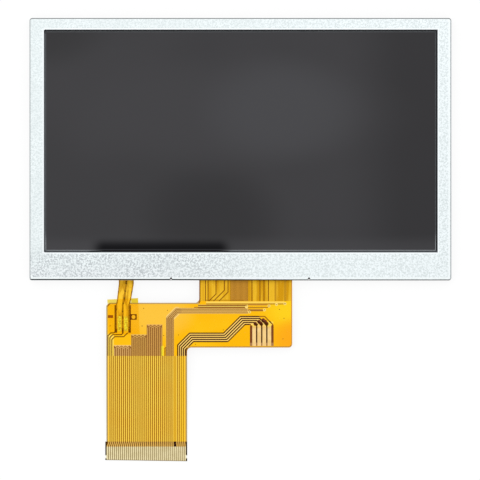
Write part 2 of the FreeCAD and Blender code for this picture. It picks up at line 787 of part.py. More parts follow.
def bundle_traces(span, drop):
    first, last = span
    traces = []
    for index in range(first, last + 1):
        x = trace_x(index)
        route = ((x, drop + 2 * ZIGZAG_RISE), (x, REAR_LAYER_DROP))
        traces.append(copper_ribbon(route, BUNDLE_TRACE_WIDTH))
    return traces


def run_gap():
    left = trace_x(RUN_TRACES[0] - 0.5)
    right = trace_x(RUN_TRACES[-1] + 0.5)
    return copper_patch((
        (left, REAR_LAYER_DROP),
        (left, RUN_TURN_DROP),
        (left + RUN_TURN_DROP - RUN_TOP_DROP, RUN_TOP_DROP),
        (RUN_END_X, RUN_TOP_DROP),
        (RUN_END_X, RUN_BASE_DROP),
        (right + RUN_TURN_DROP - RUN_BASE_DROP, RUN_BASE_DROP),
        (right, RUN_TURN_DROP),
        (right, REAR_LAYER_DROP),
    ))


def run_traces():
    step = (RUN_BASE_DROP - RUN_TOP_DROP) / len(RUN_TRACES)
    traces = []
    for order, index in enumerate(RUN_TRACES):
        x = trace_x(index)
        drop = RUN_TOP_DROP + (order + 0.5) * step
        turn_x = x + RUN_TURN_DROP - drop
        route = ((x, REAR_LAYER_DROP), (x, RUN_TURN_DROP), (turn_x, drop), (RUN_END_X, drop))
        traces.append(copper_ribbon(route, RUN_TRACE_WIDTH))
    side_x = trace_x(SIDE_TRACE)
    side = ((side_x, SIDE_TRACE_DROP + ZIGZAG_RISE), (side_x, REAR_LAYER_DROP))
    traces.append(copper_ribbon(side, BUNDLE_TRACE_WIDTH))
    return traces


def side_gap():
    """Short bare area beside the run, round a trace that starts low in the head."""
    left = trace_x(SIDE_TRACE - 0.5)
    right = trace_x(SIDE_TRACE + 0.5)
    return copper_patch((
        (left, SIDE_TRACE_DROP + ZIGZAG_RISE),
        (right, SIDE_TRACE_DROP),
        (right, REAR_LAYER_DROP),
        (left, REAR_LAYER_DROP),
    ))


def led_gap(order):
    start_x, start_drop, level_drop = LED_GAPS[order]
    x = trace_x(order - 0.5)
    route = (
        (start_x, start_drop),
        (start_x - (level_drop - start_drop), level_drop),
        (x + LED_GAP_TURN, level_drop),
        (x, level_drop + LED_GAP_TURN),
        (x, REAR_LAYER_DROP),
    )
    return copper_ribbon(route, GAP_WIDTH)


def touch_gap_start(order):
    """The part of a touch gap up to the upper level run, as (x, drop) places."""
    x = trace_x(TOUCH_FIRST_TRACE - 0.5 + order)
    row_x = TOUCH_ROW_X + order * TOUCH_ROW_STEP_X
    row_drop = TOUCH_ROW_DROP + order * TOUCH_ROW_STEP
    turn_x = TOUCH_TURN_X + order * TOUCH_TURN_STEP_X
    upper_drop = TOUCH_UPPER_DROP + order * TOUCH_UPPER_STEP
    return [
        (x, REAR_LAYER_DROP),
        (x, row_drop + row_x - x),
        (row_x, row_drop),
        (turn_x, row_drop),
        (turn_x + row_drop - upper_drop, upper_drop),
    ]


def touch_gaps():
    """Each gap ends between two pads, or beside the first or last one, and widens to a wedge before it."""
    pieces = []
    for order in range(PAD_COUNT + 1):
        places = touch_gap_start(order)
        drop = places[-1][1]
        x = pad_x(PAD_COUNT - order) - PAD_PITCH / 2
        if order == 0:
            x = PAD_FIELD_RIGHT - GAP_WIDTH
        if order == PAD_COUNT:
            pieces.append(copper_ribbon(places + [(PAD_FIELD_LEFT + GAP_WIDTH, drop)], TOUCH_GAP_WIDTH))
            continue
        turn_drop = PAD_DROP - (INNER_TURN_RISE if order else OUTER_TURN_RISE)
        places.append((x - (turn_drop - drop), drop))
        places.append((x, turn_drop))
        places.append((x, PAD_OPENING_DROP))
        pieces.append(copper_ribbon(places, TOUCH_GAP_WIDTH))
        if order:
            pieces.append(copper_patch((
                (x - (turn_drop - drop), drop),
                (x + WEDGE_REACH, turn_drop - WEDGE_REACH),
                (x, turn_drop + WEDGE_REACH),
            )))
    return pieces


def copper_block(left, right, top, base):
    return copper_patch(((left, top), (right, top), (right, base), (left, base)))


def pad_field():
    """Bare area round the pads, which climbs a little higher beside the outer two."""
    top = PAD_DROP - GAP_WIDTH
    base = PAD_FIELD_BASE_DROP
    return [
        copper_block(PAD_FIELD_LEFT, PAD_FIELD_LEFT + PAD_FIELD_MARGIN, top, base),
        copper_block(PAD_FIELD_RIGHT - PAD_FIELD_MARGIN, PAD_FIELD_RIGHT, top, base),
        copper_block(PAD_FIELD_LEFT, PAD_FIELD_RIGHT, PAD_DROP, base),
    ]


def root_gaps():
    top = BOND_DROP
    pieces = []
    for x, turn_drop in ROOT_LINES:
        places = [(x, top), (x, ROOT_LINES_DROP)]
        if turn_drop is not None:
            places = [(x, top), (x, turn_drop), (x - (ROOT_LINES_DROP - turn_drop), ROOT_LINES_DROP)]
        pieces.append(copper_ribbon(places, FINE_GAP_WIDTH))
    for x, width in ROOT_WIDE_LINES:
        pieces.append(copper_ribbon(((x, top), (x, ROOT_LINES_DROP)), width))
    pieces.append(copper_block(*ROOT_FIELD, top, ROOT_LINES_DROP))
    return pieces


def root_field_traces():
    left, right = ROOT_FIELD
    count = int((right - left) / ROOT_FIELD_STEP)
    first = (left + right - (count - 1) * ROOT_FIELD_STEP) / 2
    traces = []
    for order in range(count):
        x = first + order * ROOT_FIELD_STEP
        traces.append(copper_ribbon(((x, BOND_DROP), (x, ROOT_LINES_DROP)), ROOT_FIELD_TRACE))
    return traces


def cross_traces():
    """Level trace through the bare field, and the zigzag of plated holes at its right end."""
    left, right, top, _ = CROSS_FIELD
    level = copper_ribbon(((left, CROSS_TRACE_DROP), (right, CROSS_TRACE_DROP)), BUNDLE_TRACE_WIDTH)
    places = []
    drop = top
    reach = 0
    while drop < RUN_BASE_DROP:
        places.append((right - CROSS_ZIGZAG_REACH + reach, drop))
        reach = CROSS_ZIGZAG_REACH - reach
        drop += CROSS_ZIGZAG_STEP
    return [level, copper_ribbon(places, BUNDLE_TRACE_WIDTH)]


def marks():
    pieces = []
    for x, drop, width, height in (OBLONG_MARK, SQUARE_MARK):
        pieces.append(copper_block(x - width / 2, x + width / 2, drop - height / 2, drop + height / 2))
    return pieces


def plated_hole(x, drop):
    """Hole through the copper, small enough for a few flat sides."""
    places = []
    for side in range(VIA_SIDES):
        turn = 2 * math.pi * side / VIA_SIDES
        places.append((x + VIA_RADIUS * math.cos(turn), drop + VIA_RADIUS * math.sin(turn)))
    return copper_patch(places)


def copper_disc(x, drop, radius):
    return Part.makeCylinder(radius, COPPER, point(x, below(drop), FLEX_Z + COPPER_LEVEL))


def left_strip():
    """Bare border beside the first trace."""
    drop = LED_GAPS[0][2]
    x = trace_x(-0.5)
    return copper_patch((
        (TAIL_LEFT, drop),
        (x, drop + LED_GAP_TURN),
        (x, REAR_LAYER_DROP),
        (TAIL_LEFT, REAR_LAYER_DROP),
    ))


def pour():
    """Ground area of the head, with every bare line and patch taken out."""
    z0 = FLEX_Z + COPPER_LEVEL
    sheet = rounded_prism(head_corners(COPPER_MARGIN, BOND_DROP), z0, z0 + COPPER)
    bare = [bundle_gap(span, drop) for span, drop in zip(BUNDLE_SPANS, BUNDLE_DROPS)]
    bare.append(run_gap())
    bare += [led_gap(order) for order in range(len(LED_GAPS))]
    bare += touch_gaps() + pad_field()
    bare += root_gaps()
    bare += [copper_ribbon(((x0, drop), (x1, drop)), FINE_GAP_WIDTH) for x0, x1, drop in CROSS_LINES]
    bare.append(copper_block(*CROSS_FIELD))
    bare.append(side_gap())
    bare += marks()
    bare += [plated_hole(x, drop) for x, drop in VIA_PLACES]
    bare.append(copper_layer(led_opening_corners()))
    bare.append(left_strip())
    return sheet.cut(bare)


def tail_trace(index):
    """Trace down the tail, with the slanting piece that leads to its contact."""
    x = trace_x(index)
    half = TRACE_WIDTH / 2
    sheet = tail_sheet(
        COPPER_LEVEL, COPPER_LEVEL + COPPER, x - half, x + half, REAR_LAYER_DROP, STIFFENER_DROP
    )
    contact = contact_x(index)
    contact_half = CONTACT_WIDTH / 2
    z0 = STIFFENER + COPPER_LEVEL
    lead = prism(
        (
            (x - half, below(STIFFENER_DROP)),
            (x + half, below(STIFFENER_DROP)),
            (contact + contact_half, below(COVERLAY_DROP)),
            (contact - contact_half, below(COVERLAY_DROP)),
        ),
        z0,
        z0 + COPPER,
    )
    return sheet.fuse(lead)


def led_lands():
    """Lands under the backlight flex's two joints."""
    return [copper_block(x0, x1, LED_BARE_DROP, OPENING_BASE_DROP) for x0, x1 in led_conductor_ends()]


def flex_copper():
    traces = [tail_trace(index) for index in range(TRACE_COUNT) if index != OPEN_TRACE]
    for span, drop in zip(BUNDLE_SPANS, BUNDLE_DROPS):
        traces += bundle_traces(span, drop) + [bundle_link(span, drop)]
    traces += run_traces() + cross_traces() + root_field_traces() + led_lands()
    traces.append(copper_disc(SQUARE_MARK[0], SQUARE_MARK[1], MARK_DOT_RADIUS))
    return join([pour()] + traces)


def tail_contacts():
    z0 = STIFFENER + COPPER_LEVEL
    half = CONTACT_WIDTH / 2
    shift = point(0, CONTACT_END_MARGIN, 0)
    cutter = tail_end_cutter()
    cutter.translate(shift)
    y0 = below(TAIL_DROP + OVERSHOOT)
    y1 = below(COVERLAY_DROP)
    fingers = []
    for index in range(TRACE_COUNT):
        x = contact_x(index)
        finger = block(x - half, x + half, y0, y1, z0, z0 + GOLD_PAD)
        fingers.append(finger.cut(cutter))
    return group(fingers)


def touch_pads():
    z0 = FLEX_Z + COPPER_LEVEL
    pads = []
    for index in range(PAD_COUNT):
        x = pad_x(index)
        pads.append(
            block(
                x - PAD_WIDTH / 2,
                x + PAD_WIDTH / 2,
                below(PAD_FIELD_BASE_DROP),
                below(PAD_DROP),
                z0,
                z0 + COPPER,
            )
        )
    return group(pads)


def flex_coverlay():
    z0 = FLEX_Z + COVER_LEVEL
    z1 = z0 + COVER_FILM
    head = rounded_prism(head_corners(0, BOND_DROP), z0, z1)
    tail = tail_sheet(
        COVER_LEVEL, COVER_LEVEL + COVER_FILM, TAIL_LEFT, TAIL_RIGHT, REAR_LAYER_DROP, COVERLAY_DROP
    )
    opening = prism(led_opening_corners(), z0 - OVERSHOOT, z1 + OVERSHOOT)
    pads = block(
        PAD_FIELD_LEFT,
        PAD_FIELD_RIGHT,
        below(PAD_FIELD_BASE_DROP),
        below(PAD_OPENING_DROP),
        z0 - OVERSHOOT,
        z1 + OVERSHOOT,
    )
    return join([head, tail]).cut([opening, pads])


def capacitor_rooms():
    length, width, _ = CAPACITOR_SIZE
    half_x = length / 2 + CAPACITOR_ROOM
    half_y = width / 2 + CAPACITOR_ROOM
    rooms = []
    for x, drop in CAPACITOR_PLACES:
        y = below(drop)
        rooms.append(block(x - half_x, x + half_x, y - half_y, y + half_y, 0, FLEX_Z - COPPER))
    return rooms


def flex_rear_copper():
    return rounded_prism(head_corners(COPPER_MARGIN, COPPER_MARGIN), FLEX_Z - COPPER, FLEX_Z)


def flex_rear_coverlay():
    cover = rounded_prism(head_corners(0, 0), FLEX_Z + REAR_LEVEL, FLEX_Z - COPPER)
    return cover.cut(capacitor_rooms())


def rear_capacitors():
    length, width, depth = CAPACITOR_SIZE
    top = FLEX_Z - COPPER
    bodies = []
    for x, drop in CAPACITOR_PLACES:
        y = below(drop)
        bodies.append(block(x - length / 2, x + length / 2, y - width / 2, y + width / 2, top - depth, top))
    return group(bodies)


# Backlight flex

def led_side(exit_x, end_x):
    """Side of the flex from the strip inside the module to its end, as (x, drop) places."""
    places = [(exit_x, -STRIP_WIDTH / 2)]
    for drop, share in LED_SIDE_STEPS:
        places.append((exit_x + (end_x - exit_x) * share, drop))
    places.append((end_x, LED_END_DROP))
    return places


def led_plan(left_side, right_side, z0, z1):
    places = left_side + right_side[::-1]
    return prism([(x, below(drop)) for x, drop in places], z0, z1)


def led_layer(low, high, left_side, right_side, start_drop, end_drop):
    """Part of the backlight flex's tail between two heights, inside a plan outline."""
    drops = (start_drop, LED_RISE_START, LED_RISE_END, end_drop)
    reach = LED_EXIT_RIGHT - LED_EXIT_LEFT
    x0 = LED_END_LEFT - reach
    x1 = LED_EXIT_RIGHT + reach
    sheet = bent_sheet(low, high, x0, x1, drops, LED_STRIP_Z, LED_HEAD_Z, LED_RISE_RADIUS)
    return sheet.common(led_plan(left_side, right_side, 0, 2 * LED_HEAD_Z))


def led_flex():
    left = led_side(LED_EXIT_LEFT, LED_END_LEFT)
    right = led_side(LED_EXIT_RIGHT, LED_END_RIGHT)
    inner_drop = -(HALF_HEIGHT + WELL_BASE_Y) - STRIP_FIT
    tail = led_layer(0, LED_BASE_FILM, left, right, inner_drop, LED_END_DROP)
    strip_base = WELL_BASE_Y + STRIP_FIT
    strip = block(
        -STRIP_X,
        STRIP_X,
        strip_base,
        strip_base + STRIP_WIDTH,
        LED_STRIP_Z,
        LED_STRIP_Z + LED_BASE_FILM,
    )
    return join([strip, tail])


def led_conductor_sides():
    """Left and right side of each conductor, at the exit and at the end, as (exit x, end x) pairs."""
    margin = LED_CONDUCTOR_MARGIN
    gap_half = LED_CONDUCTOR_GAP / 2
    exit_middle = (LED_EXIT_LEFT + LED_EXIT_RIGHT) / 2
    end_middle = (LED_END_LEFT + LED_END_RIGHT) / 2
    return (
        ((LED_EXIT_LEFT + margin, LED_END_LEFT + margin), (exit_middle - gap_half, end_middle - gap_half)),
        ((exit_middle + gap_half, end_middle + gap_half), (LED_EXIT_RIGHT - margin, LED_END_RIGHT - margin)),
    )


def led_conductor_ends():
    return [(left[1], right[1]) for left, right in led_conductor_sides()]


def led_flex_copper():
    low = LED_BASE_FILM
    conductors = []
    for left, right in led_conductor_sides():
        conductors.append(
            led_layer(low, low + COPPER, led_side(*left), led_side(*right), -STRIP_FIT, LED_END_DROP)
        )
    return group(conductors)


def led_flex_coverlay():
    left = led_side(LED_EXIT_LEFT, LED_END_LEFT)
    right = led_side(LED_EXIT_RIGHT, LED_END_RIGHT)
    return led_layer(LED_COVER_LEVEL, LED_TOP_LEVEL, left, right, -STRIP_FIT, LED_BARE_DROP)


def solder_joints():
    """Solder that lies on each bare conductor and runs down over its end to the land on the main flex."""
    top = LED_HEAD_Z + LED_BASE_FILM + COPPER
    land = FLEX_Z + COPPER_LEVEL + COPPER
    joints = []
    for x0, x1 in led_conductor_ends():
        middle = (x0 + x1) / 2
        profile = (
            (LED_BARE_DROP + SOLDER_START, top),
            (LED_BARE_DROP + SOLDER_START + SOLDER_SLOPE, top + SOLDER_DEPTH),
            (LED_END_DROP, top + SOLDER_DEPTH),
            (LED_END_DROP + SOLDER_TOE, land),
            (LED_END_DROP, land),
            (LED_END_DROP, top),
        )
        ring_points = [point(middle - SOLDER_WIDTH / 2, below(drop), z) for drop, z in profile]
        face = Part.Face(Part.makePolygon(ring_points + ring_points[:1]))
        joints.append(face.extrude(point(SOLDER_WIDTH, 0, 0)))
    return group(joints)


def joint_tape():
    """Tape that lies over the joints, steps down beside them and overhangs the head's upper edge a little."""
    low = FLEX_Z + FLEX_TOP_LEVEL + GLUE_LINE
    high = LED_HEAD_Z + LED_BASE_FILM + COPPER + SOLDER_DEPTH + GLUE_LINE
    rise_left = LED_END_LEFT - OPENING_MARGIN / 2
    rise_right = (LED_EXIT_RIGHT + LED_END_RIGHT) / 2 + OPENING_MARGIN / 2
    under = (
        (TAPE_LEFT, low),
        (rise_left - TAPE_RAMP, low),
        (rise_left, high),
        (rise_right, high),
        (rise_right + TAPE_RAMP, low),
        (TAPE_RIGHT, low),
    )
    over = [(x, z + TAPE_FILM) for x, z in under]
    y = below(TAPE_BASE_DROP)
    ring_points = [point(x, y, z) for x, z in list(under) + over[::-1]]
    tape = Part.Face(Part.makePolygon(ring_points + ring_points[:1])).extrude(
        point(0, TAPE_BASE_DROP - TAPE_TOP_DROP, 0)
    )
    middle = point((TAPE_LEFT + TAPE_RIGHT) / 2, below((TAPE_TOP_DROP + TAPE_BASE_DROP) / 2))
    tape.rotate(middle, point(0, 0, 1), TAPE_TILT)
    return tape


NODES = {
    "front_bezel": front_bezel,
    "front_polariser": front_polariser,
    "filter_glass": filter_glass,
    "cell_seal": cell_seal,
    "liquid_crystal": liquid_crystal,
    "array_glass": array_glass,
    "rear_polariser": rear_polariser,
    "driver_chip": driver_chip,
    "bonding_film": bonding_film,
    "panel_frame": panel_frame,
    "rim_tape": rim_tape,
    "upper_diffuser": lambda: backlight_film(UPPER_DIFFUSER_Z, DIFFUSER_FILM),
    "upper_prism_sheet": lambda: backlight_film(UPPER_PRISM_Z, PRISM_FILM),
    "lower_prism_sheet": lambda: backlight_film(LOWER_PRISM_Z, PRISM_FILM),
    "lower_diffuser": lambda: backlight_film(FILMS_Z, DIFFUSER_FILM),
    "light_guide": light_guide,
    "led_packages": led_packages,
    "reflector_sheet": reflector_sheet,
    "rear_cover": rear_cover,
    "led_flex": led_flex,
    "led_flex_copper": led_flex_copper,
    "led_flex_coverlay": led_flex_coverlay,
    "solder_joints": solder_joints,
    "joint_tape": joint_tape,
    "flex_base": flex_base,
    "flex_copper": flex_copper,
    "flex_coverlay": flex_coverlay,
    "flex_rear_copper": flex_rear_copper,
    "flex_rear_coverlay": flex_rear_coverlay,
    "rear_capacitors": rear_capacitors,
    "tail_stiffener": tail_stiffener,
    "tail_contacts": tail_contacts,
    "touch_pads": touch_pads,
}


def main():
    os.makedirs("parts", exist_ok=True)
    for name, build in NODES.items():
        shape = build()
        shape.exportStep("parts/" + name + ".step")
        print(name, len(shape.Solids), "solids,", round(shape.Volume, 3), "mm3, valid:", shape.isValid())


main()
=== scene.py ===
import bpy
import math
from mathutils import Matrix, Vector


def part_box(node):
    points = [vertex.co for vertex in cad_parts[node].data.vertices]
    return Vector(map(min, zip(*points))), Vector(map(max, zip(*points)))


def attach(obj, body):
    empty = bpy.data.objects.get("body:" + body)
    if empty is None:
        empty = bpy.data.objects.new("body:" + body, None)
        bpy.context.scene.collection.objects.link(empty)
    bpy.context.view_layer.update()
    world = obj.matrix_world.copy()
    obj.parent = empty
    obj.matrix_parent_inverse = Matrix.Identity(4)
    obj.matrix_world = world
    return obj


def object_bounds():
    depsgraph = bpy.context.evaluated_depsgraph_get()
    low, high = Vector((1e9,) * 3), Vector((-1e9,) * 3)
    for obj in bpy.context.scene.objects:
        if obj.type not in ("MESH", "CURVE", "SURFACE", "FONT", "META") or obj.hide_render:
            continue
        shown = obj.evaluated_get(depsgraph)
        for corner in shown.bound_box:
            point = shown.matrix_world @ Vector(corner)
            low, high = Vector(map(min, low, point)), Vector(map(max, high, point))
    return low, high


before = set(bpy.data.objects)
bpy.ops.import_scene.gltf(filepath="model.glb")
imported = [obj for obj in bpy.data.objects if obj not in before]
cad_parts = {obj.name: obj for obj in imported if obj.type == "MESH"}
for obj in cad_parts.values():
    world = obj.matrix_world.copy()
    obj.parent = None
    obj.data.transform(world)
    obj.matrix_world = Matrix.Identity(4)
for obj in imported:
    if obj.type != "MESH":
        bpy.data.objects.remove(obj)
cad_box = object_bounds()

MM = 0.001

# The photograph: pixels per millimetre, and the place in the frame at its centre, in millimetres
FRAME_PIXELS = 480
PIXELS_PER_MM = 4.0
VIEW_CENTRE = (-0.11, -22.7)
LENS_MM = 400.0
SENSOR_MM = 36.0

# The light, the floor and how far the camera sees, with lengths in metres
WORLD_LEVEL = 0.9
LAMP_POWER = 20.0
LAMP_SIZE = 3.0
LAMP_PLACE = (-0.5, 1.3, 3.0)
FLOOR_SIZE = 8
FLOOR_GREY = 115
FLOOR_TOP_UP = 0.84
VIEW_END = 10

# Places on the module, in millimetres
MODULE_HALF_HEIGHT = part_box("front_bezel")[1].y / MM
WINDOW_REVEAL = 0.35
WINDOW_LEFT = -49.1
WINDOW_BASE = -25.7
WINDOW_TOP = 29.8
COPPER_TOP = 1.93

# Places on the main flex, in millimetres: a drop is a distance below the module's lower edge
FLEX_LEFT = -33.55
FLEX_RIGHT = 12.95
ROOT_LEFT = -10.3
ROOT_END = 5.25
ROOT_BAND = (-2.5, 1.9)
HEAD_TOP = 5.6
HEAD_BORDER = 0.28
ARM_BASE = 16.8
REAR_LAYER_END = 18.9
TAIL_MIDDLE = -23.45
TAIL_RIGHT = -13.35
TAIL_BORDER = 9.72
STIFFENER_START = 40.4
COVERLAY_END = 41.65
TAIL_END_MIDDLE = -23.6
END_BORDER = 9.9
LOCK_NOTCH = (43.8, 44.6)
FLEX_END = 46.0

# Traces of the tail, and the place where one is missing
TRACE_PITCH = 0.485
TRACE_COUNT = 40
OPEN_TRACE = 34
TOUCH_TRACES_LEFT = -15.2

# Bounds beyond the flex, for zones that run off it
FAR_LEFT = -60
FAR_RIGHT = 60
ABOVE_ROOT = -3.0

# Middle of the four touch traces, as (x, drop), and how far they and their gaps reach beside it
TOUCH_ROUTE = (
    (-14.72, 18.9), (-14.72, 16.74), (-12.24, 14.26), (-3.68, 14.26),
    (0.55, 10.03), (4.07, 10.03), (5.34, 11.3),
)
TOUCH_TRACES_REACH = 1.05
TOUCH_GAPS_REACH = 1.22

# Middle of the four traces beside the bundles, up to their level run, and how far they and their gaps reach
RUN_ROUTE = ((-17.63, 18.9), (-17.63, 9.4), (-15.86, 7.63))
RUN_REACH = 1.0
RUN_GAPS_REACH = 1.1
RUN_LEVEL = (-15.9, 1.9, 6.9, 8.35)

# Dark wedges between the touch traces where they turn down into the pads, as (x, drop)
PAD_WEDGES = ((3.71, 10.87), (4.66, 10.36), (5.12, 10.8), (5.72, 9.98), (6.2, 10.36), (6.6, 10.86))
WEDGE_REACH = (0.55, 0.65)

# Soft ovals of painted light and shade on the screen and on the copper, as (x, drop, reach across, reach
# down, colour)
SCREEN_SHADES = (
    (-7.0, -14.5, 23.0, 20.0, (14, 12, 18)),
    (-6.0, -42.0, 56.0, 18.0, (41, 40, 44)),
    (10.5, -42.5, 26.0, 17.0, (50, 50, 54)),
    (-50.0, -64.0, 22.0, 14.0, (18, 17, 21)),
)
COPPER_SHADES = (
    (-21.0, 8.5, 11.0, 7.0, (252, 200, 70)),
    (13.0, 7.5, 8.0, 5.0, (253, 212, 34)),
    (13.5, 14.5, 7.0, 6.0, (253, 174, 28)),
    (-1.0, 15.0, 9.0, 4.0, (252, 188, 12)),
)

# Painted dark reflection low on the screen
DARK_REFLECTION_SIDES = (-36.3, -3.3)
DARK_REFLECTION_DROPS = (-11.6, -7.9)
DARK_REFLECTION_LINE_SIDES = (-37.9, -2.8)

# The bezel's two relief holes, as (x, drop), and how far the shade under them reaches
RELIEF_HOLES = ((-17.35, -0.45), (17.15, -0.45))
RELIEF_SHADE = 0.75

# Films that let the light through to what lies below them
CLEAR_FILMS = ("flex_coverlay", "led_flex_coverlay", "joint_tape")

# Plated holes at the ends of the level lines, as (x, drop), and their rims' profile, as (radius, height)
HOLE_PLACES = ((2.26, 7.9), (6.01, 7.4), (1.5, 6.65), (7.14, 6.4), (9.01, 6.03), (11.14, 5.82))
HOLE_PROFILE = ((0.36, 0.0), (0.306, 0.008), (0.14, 0.008), (0.14, 0.0))
HOLE_SIDES = 28


def rgb(red, green, blue):
    """Linear colour from one on the scale of a picture, 0 to 255."""
    linear = []
    for value in (red, green, blue):
        share = value / 255
        linear.append(share / 12.92 if share <= 0.04045 else ((share + 0.055) / 1.055) ** 2.4)
    return (*linear, 1.0)


def trace_x(index):
    """Middle of one of the tail's traces, counted from the left."""
    return TAIL_MIDDLE + (index - (TRACE_COUNT - 1) / 2) * TRACE_PITCH


def plan_box(node, margin=0.0):
    """Lowest and highest x and y of a node in millimetres, with a margin round them."""
    low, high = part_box(node)
    return [value / MM - margin for value in low[:2]], [value / MM + margin for value in high[:2]]


class Look:
    """A node material under construction. Most methods add nodes and return an output socket."""

    def __init__(self, name, roughness=0.5, metallic=0.0, specular=0.5):
        self.material = bpy.data.materials.new(name)
        self.material.use_nodes = True
        self.tree = self.material.node_tree
        self.shader = self.tree.nodes["Principled BSDF"]
        self.shader.inputs["Roughness"].default_value = roughness
        self.shader.inputs["Metallic"].default_value = metallic
        self.shader.inputs["Specular IOR Level"].default_value = specular
        self.position = self.add("ShaderNodeTexCoord").outputs["Object"]
        millimetres = self.add("ShaderNodeVectorMath", {0: self.position, "Scale": 1 / MM}, operation="SCALE")
        split = self.add("ShaderNodeSeparateXYZ", {0: millimetres.outputs[0]})
        self.x = split.outputs["X"]
        self.y = split.outputs["Y"]
        self.drop = self.math("SUBTRACT", -MODULE_HALF_HEIGHT, self.y)

    def add(self, kind, inputs=None, **settings):
        node = self.tree.nodes.new(kind)
        for name, value in settings.items():
            setattr(node, name, value)
        for name, value in (inputs or {}).items():
            self.put(node.inputs[name], value)
        return node

    def put(self, socket, value):
        if isinstance(value, bpy.types.NodeSocket):
            self.tree.links.new(value, socket)
        else:
            socket.default_value = value

    def math(self, operation, *values):
        node = self.add("ShaderNodeMath", dict(enumerate(values)), operation=operation)
        return node.outputs[0]

    def vector(self, operation, *values):
        return self.add("ShaderNodeVectorMath", dict(enumerate(values)), operation=operation)

    def both(self, share, other):
        """1 where both shares are 1."""
        return self.math("MULTIPLY", share, other)

    def either(self, share, other):
        """1 where at least one of two shares is 1."""
        return self.math("MAXIMUM", share, other)

    def ramp(self, value, start, end, low=0.0, high=1.0):
        """Goes smoothly from low to high as the value goes from start to end."""
        inputs = {"Value": value, "From Min": start, "From Max": end, "To Min": low, "To Max": high}
        return self.add("ShaderNodeMapRange", inputs, interpolation_type="SMOOTHSTEP").outputs[0]

    def right_of(self, x, soft):
        return self.ramp(self.x, x - soft, x + soft)

    def left_of(self, x, soft):
        return self.ramp(self.x, x + soft, x - soft)

    def above(self, y, soft):
        return self.ramp(self.y, y - soft, y + soft)

    def below(self, y, soft):
        return self.ramp(self.y, y + soft, y - soft)

    def between(self, value, low, high, soft):
        """1 between two values, 0 beyond them."""
        rise = self.ramp(value, low - soft, low + soft)
        fall = self.ramp(value, high - soft, high + soft, 1.0, 0.0)
        return self.both(rise, fall)

    def mix(self, share, low, high):
        return self.add("ShaderNodeMix", {0: share, 6: low, 7: high}, data_type="RGBA").outputs[2]

    def noise(self, size, detail=2.0, distortion=0.0, stretch=(1, 1, 1)):
        """Noise between 0 and 1, with its size in millimetres."""
        place = self.vector("MULTIPLY", self.position, stretch).outputs[0]
        inputs = {"Vector": place, "Scale": 1 / (size * MM), "Detail": detail, "Distortion": distortion}
        return self.add("ShaderNodeTexNoise", inputs).outputs[0]

    def paint(self, colour, zones, soft=0.06):
        """Lays each zone's colour over the one before it. A zone is (left, right, top, base, colour)."""
        for left, right, top, base, over in zones.values():
            across = self.between(self.x, left, right, soft)
            zone = self.both(across, self.between(self.drop, top, base, soft))
            colour = self.mix(zone, colour, over)
        return colour

    def spot(self, x, drop, reach_x, reach_drop):
        """1 in the middle of a soft oval, 0 outside it."""
        across = self.math("DIVIDE", self.math("SUBTRACT", self.x, x), reach_x)
        down = self.math("DIVIDE", self.math("SUBTRACT", self.drop, drop), reach_drop)
        square = self.math("ADD", self.math("MULTIPLY", across, across), self.math("MULTIPLY", down, down))
        return self.ramp(square, 0.0, 1.0, 1.0, 0.0)

    def shade(self, colour, spots, power=1.0):
        """Lays on soft ovals of painted light and shade. A spot is (x, drop, reach across, reach down,
        colour).
        """
        for x, drop, reach_x, reach_drop, over in spots:
            share = self.math("POWER", self.spot(x, drop, reach_x, reach_drop), power)
            colour = self.mix(share, colour, rgb(*over))
        return colour

    def off_route(self, route):
        """Distance from a route of (x, drop) places, in millimetres."""
        here = self.add("ShaderNodeCombineXYZ", {0: self.x, 1: self.drop}).outputs[0]
        gaps = []
        for start, end in zip(route, route[1:]):
            start = Vector((*start, 0))
            along = Vector((*end, 0)) - start
            offset = self.vector("SUBTRACT", here, start).outputs[0]
            share = self.vector("DOT_PRODUCT", offset, along / along.length_squared).outputs["Value"]
            share = self.math("MINIMUM", self.math("MAXIMUM", share, 0.0), 1.0)
            step = self.add("ShaderNodeVectorMath", {0: along, "Scale": share}, operation="SCALE").outputs[0]
            gaps.append(self.vector("DISTANCE", offset, step).outputs["Value"])
        nearest = gaps[0]
        for gap in gaps[1:]:
            nearest = self.math("MINIMUM", gap, nearest)
        return nearest

    def beside(self, route, reach, soft=0.05):
        """1 within this reach of a route, 0 farther off."""
        return self.ramp(self.off_route(route), reach + soft, reach - soft)

    def outside(self, low, high):
        """Distance outside a rectangle between two corners in millimetres, negative inside it."""
        gaps = []
        for axis, value in enumerate((self.x, self.y)):
            middle = (low[axis] + high[axis]) / 2
            off = self.math("ABSOLUTE", self.math("SUBTRACT", value, middle))
            gaps.append(self.math("SUBTRACT", off, (high[axis] - low[axis]) / 2))
        return self.math("MAXIMUM", *gaps)

    def colour(self, value):
        self.put(self.shader.inputs["Base Color"], value)
        return self

    def roughness(self, value):
        self.put(self.shader.inputs["Roughness"], value)
        return self

    def specular(self, value):
        self.put(self.shader.inputs["Specular IOR Level"], value)
        return self

    def bump(self, height, depth):
        """Relief of this depth in millimetres."""
        inputs = {"Height": height, "Distance": depth * MM, "Strength": 1.0}
        self.put(self.shader.inputs["Normal"], self.add("ShaderNodeBump", inputs).outputs[0])
        return self

    def surface(self, shader):
        self.put(self.tree.nodes["Material Output"].inputs["Surface"], shader.outputs[0])
        return self

    def film(self, tint, index):
        """Makes a clear film: its faces tint what lies behind them and shine more at a slant."""
        clear = self.add("ShaderNodeBsdfTransparent", {"Color": tint}).outputs[0]
        gloss = self.add("ShaderNodeFresnel", {"IOR": index}).outputs[0]
        return self.surface(self.add("ShaderNodeMixShader", {0: gloss, 1: clear, 2: self.shader.outputs[0]}))


